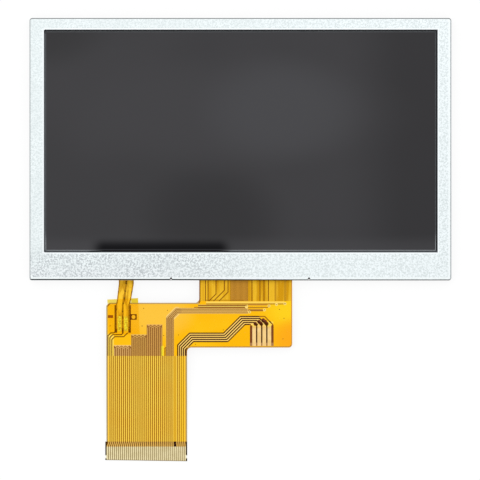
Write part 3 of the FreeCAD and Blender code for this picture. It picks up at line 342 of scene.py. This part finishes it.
def spangle(look, fine):
    """Zinc coating: darker specks on a bright ground, strongest at the lower left; painted light makes the
    ground lighter towards the right.
    """
    broad = look.noise(4.5, 2.0)
    left = look.left_of(-4.0, 16.0)
    lower_left = look.both(look.below(-25.5, 1.5), left)
    strong = look.both(lower_left, look.ramp(broad, 0.3, 0.6, 0.5, 1.0))
    speck = look.mix(strong, rgb(198, 206, 207), rgb(172, 178, 181))
    ground = look.mix(look.ramp(broad, 0.3, 0.7), rgb(213, 220, 221), rgb(219, 226, 227))
    # Painted light: the ground grows lighter towards the right
    ground = look.mix(look.right_of(10.0, 30.0), ground, rgb(222, 229, 231))
    # A slightly different grey along the lower edge at the left
    lower_left_strip = look.both(left, look.below(-30.0, 2.0))
    ground = look.mix(lower_left_strip, ground, rgb(216, 221, 223))
    return look.mix(look.ramp(fine, 0.56, 0.42), ground, speck)


def window_border(look, colour):
    """Painted highlight round the window, with a painted shadow line on its edge."""
    gap = look.outside(*plan_box("front_polariser", WINDOW_REVEAL))
    # Painted highlight along the window's cut edge
    edge_highlight = look.mix(look.right_of(WINDOW_LEFT + 0.1, 0.1), rgb(218, 223, 225), rgb(227, 232, 234))
    colour = look.mix(look.ramp(gap, 0.44, 0.36), colour, edge_highlight)
    # Painted shadow line on the window's edge, wider away from the left and darker at the top
    edge_shadow_width = look.ramp(look.x, WINDOW_LEFT + 0.1, WINDOW_LEFT + 0.3, 0.04, 0.13)
    edge_shadow = look.ramp(look.math("SUBTRACT", gap, edge_shadow_width), 0.04, -0.04)
    edge_shadow_colour = look.mix(look.above(WINDOW_TOP - 0.8, 0.2), rgb(90, 94, 98), rgb(54, 58, 62))
    return look.mix(edge_shadow, colour, edge_shadow_colour)


def rim_light(look, colour):
    """Painted highlight: a lighter band just inside the right and lower rims."""
    band = look.between(look.outside(*plan_box("front_bezel")), -0.75, -0.4, 0.08)
    far = look.either(look.right_of(51.7, 0.2), look.below(-31.7, 0.2))
    return look.mix(look.both(band, far), colour, rgb(223, 229, 230))


def rim_fold(look, colour):
    """Painted shade on the fold at the rim, with lighter walls below it shaded by the way they face, and a
    painted dark line of shade along the lower fold.
    """
    normal = look.add("ShaderNodeNewGeometry").outputs["Normal"]
    across, along, up = look.add("ShaderNodeSeparateXYZ", {0: normal}).outputs
    # Painted shade: the fold and the walls take greys by the way they face
    side = look.mix(look.ramp(across, -0.7, 0.7), rgb(160, 165, 165), rgb(150, 152, 156))
    side = look.mix(look.ramp(along, 0.2, 0.7), side, rgb(104, 109, 110))
    steep = look.both(look.ramp(up, 0.9, 0.7), look.ramp(along, 0.5, 0.2))
    side = look.mix(steep, side, rgb(188, 194, 196))
    side = look.mix(look.ramp(up, 0.3, 0.1), side, rgb(172, 178, 180))
    colour = look.mix(look.ramp(up, 0.998, 0.96), colour, side)
    # Painted line of shade along the lower fold, leaning slightly across
    lean = look.ramp(look.x, -30.0, 30.0, 0.1, -0.1)
    line = look.between(look.math("ADD", look.drop, lean), -0.28, 0.0, 0.04)
    line = look.both(line, look.ramp(up, 0.05, 0.2))
    return look.mix(line, colour, rgb(42, 45, 48))


def bezel_look():
    """Zinc-coated sheet steel, with painted light and shade round its window and rims."""
    look = Look("spangled_steel", metallic=1.0)
    fine = look.noise(0.42, 3.0, 0.8)
    colour = window_border(look, spangle(look, fine))
    colour = rim_light(look, colour)
    look.colour(rim_fold(look, colour))
    look.roughness(look.ramp(fine, 0.2, 0.8, 0.3, 0.42))
    return look.bump(fine, 0.003)


def screen_look():
    """Dark anti-glare film over a switched-off panel, with painted light and shade, a painted highlight round
    its edge, and a painted dark reflection low down with a painted glint.
    """
    look = Look("dark_screen", roughness=0.3)
    cloud = look.ramp(look.noise(30, 1.0), 0.35, 0.65)
    colour = look.mix(cloud, rgb(32, 31, 35), rgb(37, 36, 40))
    # Painted shade towards the right, soft ovals of painted light and shade, and painted reflected light low
    # on the screen
    colour = look.mix(look.right_of(33.0, 9.0), colour, rgb(15, 13, 19))
    colour = look.shade(colour, SCREEN_SHADES, power=1.5)
    colour = look.mix(look.ramp(look.drop, -12.0, -8.0, 0.0, 0.35), colour, rgb(60, 60, 64))
    # Painted highlight along the film's edge, brighter low down
    rim = look.outside(*plan_box("front_polariser"))
    rim_colour = look.mix(look.below(-22.0, 2.0), rgb(96, 100, 104), rgb(168, 172, 176))
    colour = look.mix(look.ramp(rim, -0.18, -0.08), colour, rim_colour)
    # Painted dark reflection low on the screen, with less gloss, and a painted glint along its lower edge
    dark_reflection = look.both(look.between(look.x, *DARK_REFLECTION_SIDES, 2.4), look.ramp(look.drop, *DARK_REFLECTION_DROPS))
    colour = look.mix(dark_reflection, colour, rgb(4, 4, 8))
    glint = look.both(dark_reflection, look.between(rim, -0.36, -0.17, 0.04))
    look.colour(look.mix(glint, colour, rgb(50, 50, 54)))
    look.specular(look.ramp(dark_reflection, 0.0, 1.0, 0.35, 0.08))
    return look.bump(look.noise(0.12, 1.0), 0.0006)


def glass_look():
    """Black-edged glass, with a painted highlight beside the film at the left and below, but not by the
    painted dark reflection.
    """
    look = Look("black_edged_glass", roughness=0.12, specular=0.2)
    colour = look.mix(look.noise(4), rgb(12, 14, 18), rgb(26, 29, 33))
    reflection_left, reflection_right = DARK_REFLECTION_LINE_SIDES
    off_reflection = look.either(look.left_of(reflection_left, 0.5), look.right_of(reflection_right, 0.6))
    # Painted highlight on the glass edge at the left and below, left out under the painted dark reflection
    below = look.both(look.below(WINDOW_BASE + 0.5, 0.1), off_reflection)
    left = look.both(look.left_of(WINDOW_LEFT + 0.4, 0.1), look.below(WINDOW_TOP - 0.9, 0.1))
    return look.colour(look.mix(look.either(below, left), colour, rgb(78, 82, 86)))


def copper_head(look, colour):
    """Root, level lines, bundles and touch traces of the main flex's foil."""
    streak = look.ramp(look.noise(1.1, 2.0, 0.0, (1, 0.08, 1)), 0.38, 0.62)
    root = look.mix(streak, rgb(211, 155, 19), rgb(237, 189, 47))
    brown = rgb(250, 212, 134)
    pale = rgb(255, 222, 98)
    colour = look.paint(colour, {
        "left of the joints": (FLEX_LEFT, -31.6, HEAD_TOP, 12.4, rgb(253, 197, 32)),
        "root": (ROOT_LEFT - 1, FLEX_RIGHT + 1, -1.0, ROOT_END - 0.05, root),
        "root band": (*ROOT_BAND, -1.0, ROOT_END - 0.05, rgb(222, 168, 66)),
        "dark line above the head": (-8.6, 0.9, 4.85, 5.1, rgb(190, 138, 24)),
        "light line on the head": (-8.6, 10.9, 5.28, 5.75, rgb(255, 218, 104)),
        "ends of the upper lines": (1.9, 6.7, 5.8, 6.3, rgb(212, 156, 58)),
        "ends of the lower lines": (1.9, 5.6, 7.1, 7.75, rgb(200, 146, 60)),
        "level lines": (-10.6, 1.9, 6.05, 6.95, rgb(255, 232, 124)),
        "level run": (*RUN_LEVEL, brown),
        "left bundle": (trace_x(2.5), trace_x(11.5), 16.2, REAR_LAYER_END, rgb(238, 196, 134)),
        "middle bundle": (trace_x(11.5), trace_x(19.5), 13.5, REAR_LAYER_END, rgb(228, 186, 104)),
        "right bundle": (trace_x(19.5), trace_x(27.6), 11.0, REAR_LAYER_END, rgb(228, 180, 106)),
        "backlight traces": (FLEX_LEFT, trace_x(2.5), 13.4, REAR_LAYER_END, pale),
        "yellow strip": (-19.9, -19.25, 16.4, REAR_LAYER_END, rgb(255, 240, 60)),
        "necks of the pads": (2.7, 8.2, 10.3, 12.1, pale),
    })
    colour = look.mix(look.beside(RUN_ROUTE, RUN_REACH), colour, brown)
    colour = look.mix(look.beside(TOUCH_ROUTE, TOUCH_TRACES_REACH), colour, rgb(255, 216, 124))
    for x, drop in PAD_WEDGES:
        wedge = look.ramp(look.spot(x, drop, *WEDGE_REACH), 0.2, 0.4)
        colour = look.mix(wedge, colour, rgb(112, 54, 40))
    return colour


def copper_look():
    """Foil under amber film: yellow ground, streaks in the root, pale traces and a duller tail."""
    look = Look("foil_under_film", roughness=0.4, specular=0.03)
    cloud = look.ramp(look.noise(9, 1.5), 0.35, 0.65)
    ground = look.mix(cloud, rgb(253, 190, 14), rgb(254, 198, 24))
    # Painted soft light and shade on the copper's ground
    ground = look.shade(ground, COPPER_SHADES)
    tail = look.mix(look.ramp(look.noise(6, 1.0), 0.3, 0.7), rgb(255, 219, 92), rgb(255, 226, 98))
    look.colour(look.paint(copper_head(look, ground), {
        "tail": (FAR_LEFT, FAR_RIGHT, REAR_LAYER_END, FLEX_END, tail),
        "touch traces": (TOUCH_TRACES_LEFT, FAR_RIGHT, REAR_LAYER_END, FLEX_END, rgb(255, 214, 66)),
        "on the stiffener": (FAR_LEFT, FAR_RIGHT, STIFFENER_START, FLEX_END, rgb(228, 186, 104)),
    }))
    return look.bump(cloud, 0.01)


def base_head(look, colour, border):
    """Root and head of the base film: gaps between the traces, what surrounds the pads, and borders."""
    brown = rgb(152, 104, 52)
    line = rgb(112, 64, 12)
    colour = look.paint(colour, {
        "root": (ROOT_LEFT, FLEX_RIGHT, ABOVE_ROOT, HEAD_TOP - 0.1, rgb(136, 82, 12)),
        "root's right side": (8.2, 11.7, ABOVE_ROOT, HEAD_TOP - 0.1, rgb(198, 148, 32)),
        "root band": (*ROOT_BAND, ABOVE_ROOT, ROOT_END, rgb(158, 106, 36)),
        "level lines": (-12.0, 11.2, HEAD_TOP, 8.4, rgb(156, 104, 40)),
        "level run": (*RUN_LEVEL, rgb(174, 128, 58)),
        "bundles": (trace_x(2.4), trace_x(27.6), 11.0, REAR_LAYER_END, brown),
        "joints": (-31.6, -27.3, 6.1, 13.15, rgb(132, 80, 12)),
        "backlight traces, level": (FLEX_LEFT, -27.6, 12.4, 14.4, line),
        "backlight traces, upright": (FLEX_LEFT, trace_x(2.6), 13.1, REAR_LAYER_END, line),
        "left mark": (-33.3, -31.7, 8.4, 9.9, rgb(156, 84, 30)),
        "right mark": (-27.7, -25.8, 8.4, 9.9, rgb(110, 56, 14)),
    })
    colour = look.mix(look.beside(RUN_ROUTE, RUN_GAPS_REACH), colour, brown)
    colour = look.mix(look.beside(TOUCH_ROUTE, TOUCH_GAPS_REACH), colour, rgb(62, 14, 0))
    upper_border = (HEAD_TOP - 0.1, HEAD_TOP + HEAD_BORDER)
    arm_border = (ARM_BASE - HEAD_BORDER, ARM_BASE + 0.1)
    right_border = (FLEX_RIGHT - HEAD_BORDER, FLEX_RIGHT + 0.1)
    return look.paint(colour, {
        "round the pads": (2.2, 8.5, 10.9, 16.5, rgb(124, 68, 32)),
        "between the pads": (2.95, 7.72, 10.2, 16.5, rgb(72, 32, 0)),
        "ends of the pads": (2.2, 8.5, 15.6, 16.6, rgb(168, 120, 76)),
        "left border": (FAR_LEFT, FLEX_LEFT + 0.3, HEAD_TOP, REAR_LAYER_END, border),
        "upper border": (FAR_LEFT, ROOT_LEFT - 0.1, *upper_border, rgb(186, 162, 124)),
        "arm's lower border": (TAIL_RIGHT, FAR_RIGHT, *arm_border, rgb(196, 150, 70)),
        "right border": (*right_border, -1.0, ARM_BASE, rgb(216, 158, 62)),
    })


def base_tail(look, colour, border):
    """Tail of the base film: the gaps between the traces and the contacts, and the borders."""
    whole = (REAR_LAYER_END, FLEX_END)
    tail = (REAR_LAYER_END, STIFFENER_START)
    end = (STIFFENER_START, FLEX_END)
    open_trace = (trace_x(OPEN_TRACE - 0.7), trace_x(OPEN_TRACE + 0.7))
    last_trace = trace_x(TRACE_COUNT - 1)
    end_left = TAIL_END_MIDDLE - END_BORDER
    end_right = TAIL_END_MIDDLE + END_BORDER
    dark = rgb(56, 42, 12)
    notch = rgb(236, 230, 200)
    return look.paint(colour, {
        "gaps": (FAR_LEFT, FAR_RIGHT, *whole, rgb(166, 106, 0)),
        "gaps of the touch traces": (TOUCH_TRACES_LEFT, FAR_RIGHT, *whole, rgb(196, 142, 12)),
        "missing trace": (*open_trace, *tail, rgb(222, 174, 46)),
        "left of the traces": (FAR_LEFT, trace_x(0), *tail, rgb(255, 196, 44)),
        "right of the traces": (last_trace, FAR_RIGHT, *tail, rgb(250, 190, 30)),
        "left border": (FAR_LEFT, TAIL_MIDDLE - TAIL_BORDER, *tail, border),
        "right border": (TAIL_MIDDLE + TAIL_BORDER, FAR_RIGHT, *tail, border),
        "on the stiffener": (FAR_LEFT, FAR_RIGHT, *end, rgb(98, 58, 8)),
        "missing trace on the stiffener": (*open_trace, STIFFENER_START, COVERLAY_END, rgb(52, 28, 20)),
        "between the contacts": (FAR_LEFT, FAR_RIGHT, COVERLAY_END, FLEX_END, rgb(118, 92, 30)),
        "left of the contacts": (FAR_LEFT, end_left, *end, dark),
        "right of the contacts": (end_right, FAR_RIGHT, *end, dark),
        "left lock notch": (FAR_LEFT, end_left, *LOCK_NOTCH, notch),
        "right lock notch": (end_right, FAR_RIGHT, *LOCK_NOTCH, notch),
    })


def base_look():
    """Amber base film: pale at its border, brown over the rear foil and dark under the fine lines."""
    look = Look("amber_base", roughness=0.45, specular=0.05)
    border = rgb(178, 158, 108)
    grain = look.ramp(look.noise(1.4, 2.0), 0.3, 0.7)
    plain = look.mix(grain, rgb(158, 108, 20), rgb(176, 124, 30))
    look.colour(base_tail(look, base_head(look, plain, border), border))
    return look.bump(look.noise(0.4), 0.002)


def cover_look():
    """Clear amber cover film."""
    look = Look("clear_amber_film", roughness=0.25)
    grain = look.noise(8)
    look.colour(look.mix(grain, rgb(232, 170, 60), rgb(240, 182, 74)))
    look.film(look.mix(grain, (1.0, 0.97, 0.865, 1.0), (1.0, 0.98, 0.9, 1.0)), 1.12)
    return look.bump(look.noise(5), 0.02)


def tape_look():
    """Clear amber tape, deeper in colour where its upper edge stands over the head's border."""
    look = Look("amber_tape", roughness=0.28)
    grain = look.noise(3)
    look.colour(look.mix(grain, rgb(236, 176, 40), rgb(244, 190, 56)))
    tint = look.mix(grain, (0.97, 0.9, 0.52, 1.0), (0.985, 0.93, 0.58, 1.0))
    tint = look.paint(tint, {
        "left of the backlight flex": (-34.0, -30.9, 4.0, HEAD_TOP, (0.945, 0.84, 0.35, 1.0)),
        "right of the backlight flex": (-27.3, -25.0, 4.0, HEAD_TOP, (0.91, 0.78, 0.2, 1.0)),
    })
    look.film(tint, 1.14)
    return look.bump(look.noise(2.2), 0.03)


def flat_look(name, dark, light, size=2.0, relief=0.002, stretch=(1, 1, 1), **finish):
    """Surface that varies softly between two close colours."""
    look = Look(name, **finish)
    grain = look.noise(size, 3.0, stretch=stretch)
    look.colour(look.mix(look.ramp(grain, 0.3, 0.7), rgb(*dark), rgb(*light)))
    return look.bump(grain, relief)


def moulding_look():
    """White moulding, in deep shade under the bezel's two relief holes."""
    look = Look("white_moulding")
    grain = look.noise(0.8, 3.0)
    colour = look.mix(grain, rgb(226, 226, 222), rgb(238, 238, 234))
    for x, drop in RELIEF_HOLES:
        shade = look.spot(x, drop, RELIEF_SHADE, RELIEF_SHADE)
        colour = look.mix(look.ramp(shade, 0.0, 0.3), colour, rgb(24, 24, 26))
    look.colour(colour)
    return look.bump(grain, 0.004)


def led_base_look():
    """Base film of the backlight's flex, with the shade of creases painted in as dark streaks."""
    look = Look("backlight_flex_base", roughness=0.4, specular=0.05)
    # Painted shade of creases
    crease_shade = look.ramp(look.noise(0.9, 2.0, 1.0), 0.5, 0.68)
    return look.colour(look.mix(crease_shade, rgb(184, 132, 20), rgb(100, 68, 8)))


def led_copper_look():
    """Foil of the backlight's flex, with the light and shade of creases painted in as streaks."""
    look = Look("backlight_flex_foil", roughness=0.4, specular=0.05)
    # Painted light and shade of creases
    crease_shade = look.ramp(look.noise(1.0, 2.0, 0.5, (1, 0.2, 1)), 0.4, 0.66)
    return look.colour(look.mix(crease_shade, rgb(255, 206, 58), rgb(208, 152, 20)))


def case_looks():
    """Looks of the bezel, the moulding, the back and the tape inside."""
    rolled = {"size": 1.2, "relief": 0.003, "stretch": (0.15, 1, 1), "roughness": 0.36, "metallic": 1.0}
    return {
        "front_bezel": bezel_look(),
        "panel_frame": moulding_look(),
        "rear_cover": flat_look("rolled_steel", (198, 203, 205), (216, 220, 222), **rolled),
        "rim_tape": flat_look("black_tape", (24, 24, 25), (34, 34, 36), 0.5, roughness=0.7),
    }


def panel_looks():
    """Looks of the glass panel and what is bonded to it."""
    glass = glass_look()
    screen = screen_look()
    return {
        "front_polariser": screen,
        "rear_polariser": screen,
        "filter_glass": glass,
        "array_glass": glass,
        "cell_seal": flat_look("seal_resin", (150, 146, 132), (166, 162, 150)),
        "liquid_crystal": flat_look("liquid_layer", (84, 88, 92), (98, 102, 106)),
        "driver_chip": flat_look("dark_silicon", (62, 62, 72), (80, 80, 90), 4.0, 0.0005, roughness=0.12),
        "bonding_film": flat_look("bonding_resin", (150, 140, 116), (170, 160, 134), 0.3),
    }


def backlight_looks():
    """Looks of the backlight and its flex."""
    film = flat_look("frosted_film", (208, 214, 216), (228, 232, 234), 1.5, roughness=0.4)
    return {
        "upper_diffuser": film,
        "upper_prism_sheet": film,
        "lower_prism_sheet": film,
        "lower_diffuser": film,
        "light_guide": flat_look("clear_guide", (216, 226, 228), (232, 240, 240), 1.0, roughness=0.15),
        "led_packages": flat_look("diode_case", (236, 226, 150), (246, 240, 190), 0.8),
        "reflector_sheet": flat_look("white_film", (240, 240, 240), (248, 248, 248), 2.0),
        "led_flex": led_base_look(),
        "led_flex_copper": led_copper_look(),
        "led_flex_coverlay": cover_look(),
        # The solder's strong mottle of dark and bright yellow is painted shade and highlight
        "solder_joints": flat_look("solder", (206, 162, 30), (255, 255, 80), 0.4, 0.004, roughness=0.3),
        "joint_tape": tape_look(),
    }


def flex_looks():
    """Looks of the main flex."""
    gold_finish = {"roughness": 0.32, "specular": 0.3}
    pad_finish = {"roughness": 0.35, "specular": 0.2}
    return {
        "flex_base": base_look(),
        "flex_copper": copper_look(),
        "flex_coverlay": cover_look(),
        "flex_rear_copper": flat_look("rear_foil", (196, 138, 40), (214, 158, 54), 2.0),
        "flex_rear_coverlay": flat_look(
            "amber_film", (150, 96, 22), (176, 118, 34), 3.0, roughness=0.35, specular=0.3
        ),
        "rear_capacitors": flat_look("fired_ceramic", (138, 104, 72), (158, 122, 88), 0.4, 0.004),
        "tail_stiffener": flat_look("stiffener_board", (58, 42, 10), (74, 54, 16), 0.8),
        "tail_contacts": flat_look("gold_plate", (235, 220, 170), (248, 234, 186), 1.2, **gold_finish),
        "touch_pads": flat_look("pale_gold", (238, 196, 120), (250, 212, 142), 1.4, **pad_finish),
    }


def dress():
    """Gives every CAD node its material, and lets the light through the clear films."""
    looks = {**case_looks(), **panel_looks(), **backlight_looks(), **flex_looks()}
    for node, look in looks.items():
        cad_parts[node].material_slots[0].material = look.material
    for node in CLEAR_FILMS:
        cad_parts[node].visible_shadow = False
        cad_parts[node].visible_diffuse = False


def hole_rim(x, drop, first):
    """Points and faces of one rim, closed at its bottom. Its first point gets the number first."""
    points = []
    for radius, height in HOLE_PROFILE:
        for side in range(HOLE_SIDES):
            turn = 2 * math.pi * side / HOLE_SIDES
            y = -MODULE_HALF_HEIGHT - drop + radius * math.sin(turn)
            points.append(Vector((x + radius * math.cos(turn), y, COPPER_TOP + height)) * MM)
    faces = []
    levels = len(HOLE_PROFILE) - 1
    for level in range(levels):
        for side in range(HOLE_SIDES):
            here = first + level * HOLE_SIDES + side
            beside = first + level * HOLE_SIDES + (side + 1) % HOLE_SIDES
            faces.append((here, beside, beside + HOLE_SIDES, here + HOLE_SIDES))
    bottom = first + levels * HOLE_SIDES
    faces.append(tuple(range(bottom, bottom + HOLE_SIDES)))
    return points, faces


def add_hole_rims():
    """Low round rims of plated holes, under the cover film."""
    points = []
    faces = []
    for x, drop in HOLE_PLACES:
        rim_points, rim_faces = hole_rim(x, drop, len(points))
        points += rim_points
        faces += rim_faces
    mesh = bpy.data.meshes.new("plated_hole_rims")
    mesh.from_pydata(points, [], faces)
    look = Look("plated_rim", roughness=0.35, specular=0.2)
    look.colour(look.mix(look.noise(0.6), rgb(255, 218, 120), rgb(255, 232, 150)))
    mesh.materials.append(look.material)
    rims = bpy.data.objects.new("plated_hole_rims", mesh)
    bpy.context.collection.objects.link(rims)
    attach(rims, "root")


def add_floor():
    """Grey floor that keeps the shadow, topped up to white for the rays that see it."""
    bpy.ops.mesh.primitive_plane_add(size=FLOOR_SIZE, location=(0, 0, cad_box[0].z))
    floor = bpy.context.object
    floor.name = "floor"
    look = Look("white_floor", roughness=0.9, specular=0.0)
    look.colour(rgb(FLOOR_GREY, FLOOR_GREY, FLOOR_GREY))
    ray = look.add("ShaderNodeLightPath").outputs
    seen = look.either(look.either(ray["Is Camera Ray"], ray["Is Glossy Ray"]), ray["Is Transmission Ray"])
    glow = look.add("ShaderNodeEmission", {"Strength": look.math("MULTIPLY", seen, FLOOR_TOP_UP)})
    look.surface(look.add("ShaderNodeAddShader", {0: look.shader.outputs[0], 1: glow.outputs[0]}))
    floor.data.materials.append(look.material)


def add_surroundings():
    """Even light from all sides, white for the rays that see it."""
    world = bpy.data.worlds.new("surroundings")
    bpy.context.scene.world = world
    world.use_nodes = True
    tree = world.node_tree
    ray = tree.nodes.new("ShaderNodeLightPath")
    seen = ray.outputs["Is Camera Ray"]
    for name in ("Is Glossy Ray", "Is Transmission Ray"):
        larger = tree.nodes.new("ShaderNodeMath")
        larger.operation = "MAXIMUM"
        tree.links.new(seen, larger.inputs[0])
        tree.links.new(ray.outputs[name], larger.inputs[1])
        seen = larger.outputs[0]
    strength = tree.nodes.new("ShaderNodeMapRange")
    strength.inputs["To Min"].default_value = WORLD_LEVEL
    strength.inputs["To Max"].default_value = 1.0
    tree.links.new(seen, strength.inputs["Value"])
    background = tree.nodes["Background"]
    background.inputs["Color"].default_value = (1, 1, 1, 1)
    tree.links.new(strength.outputs[0], background.inputs["Strength"])


def add_lamp():
    """One broad lamp above the upper left."""
    lamp = bpy.data.objects.new("key_lamp", bpy.data.lights.new("key_lamp", "AREA"))
    lamp.data.energy = LAMP_POWER
    lamp.data.size = LAMP_SIZE
    lamp.location = LAMP_PLACE
    aim = Vector((VIEW_CENTRE[0] * MM, VIEW_CENTRE[1] * MM, 0)) - lamp.location
    lamp.rotation_euler = aim.to_track_quat("-Z", "Y").to_euler()
    bpy.context.collection.objects.link(lamp)


def add_camera():
    """Straight above, far off with a long lens, upright like the photograph."""
    camera = bpy.data.objects.new("camera", bpy.data.cameras.new("camera"))
    camera.data.sensor_width = SENSOR_MM
    camera.data.lens = LENS_MM
    camera.data.clip_end = VIEW_END
    width = FRAME_PIXELS / PIXELS_PER_MM * MM
    height = cad_box[1].z + width * LENS_MM / SENSOR_MM
    camera.location = (VIEW_CENTRE[0] * MM, VIEW_CENTRE[1] * MM, height)
    bpy.context.collection.objects.link(camera)
    bpy.context.scene.camera = camera


dress()
add_hole_rims()
add_floor()
add_surroundings()
add_lamp()
add_camera()
bpy.context.scene.view_settings.view_transform = "Standard"
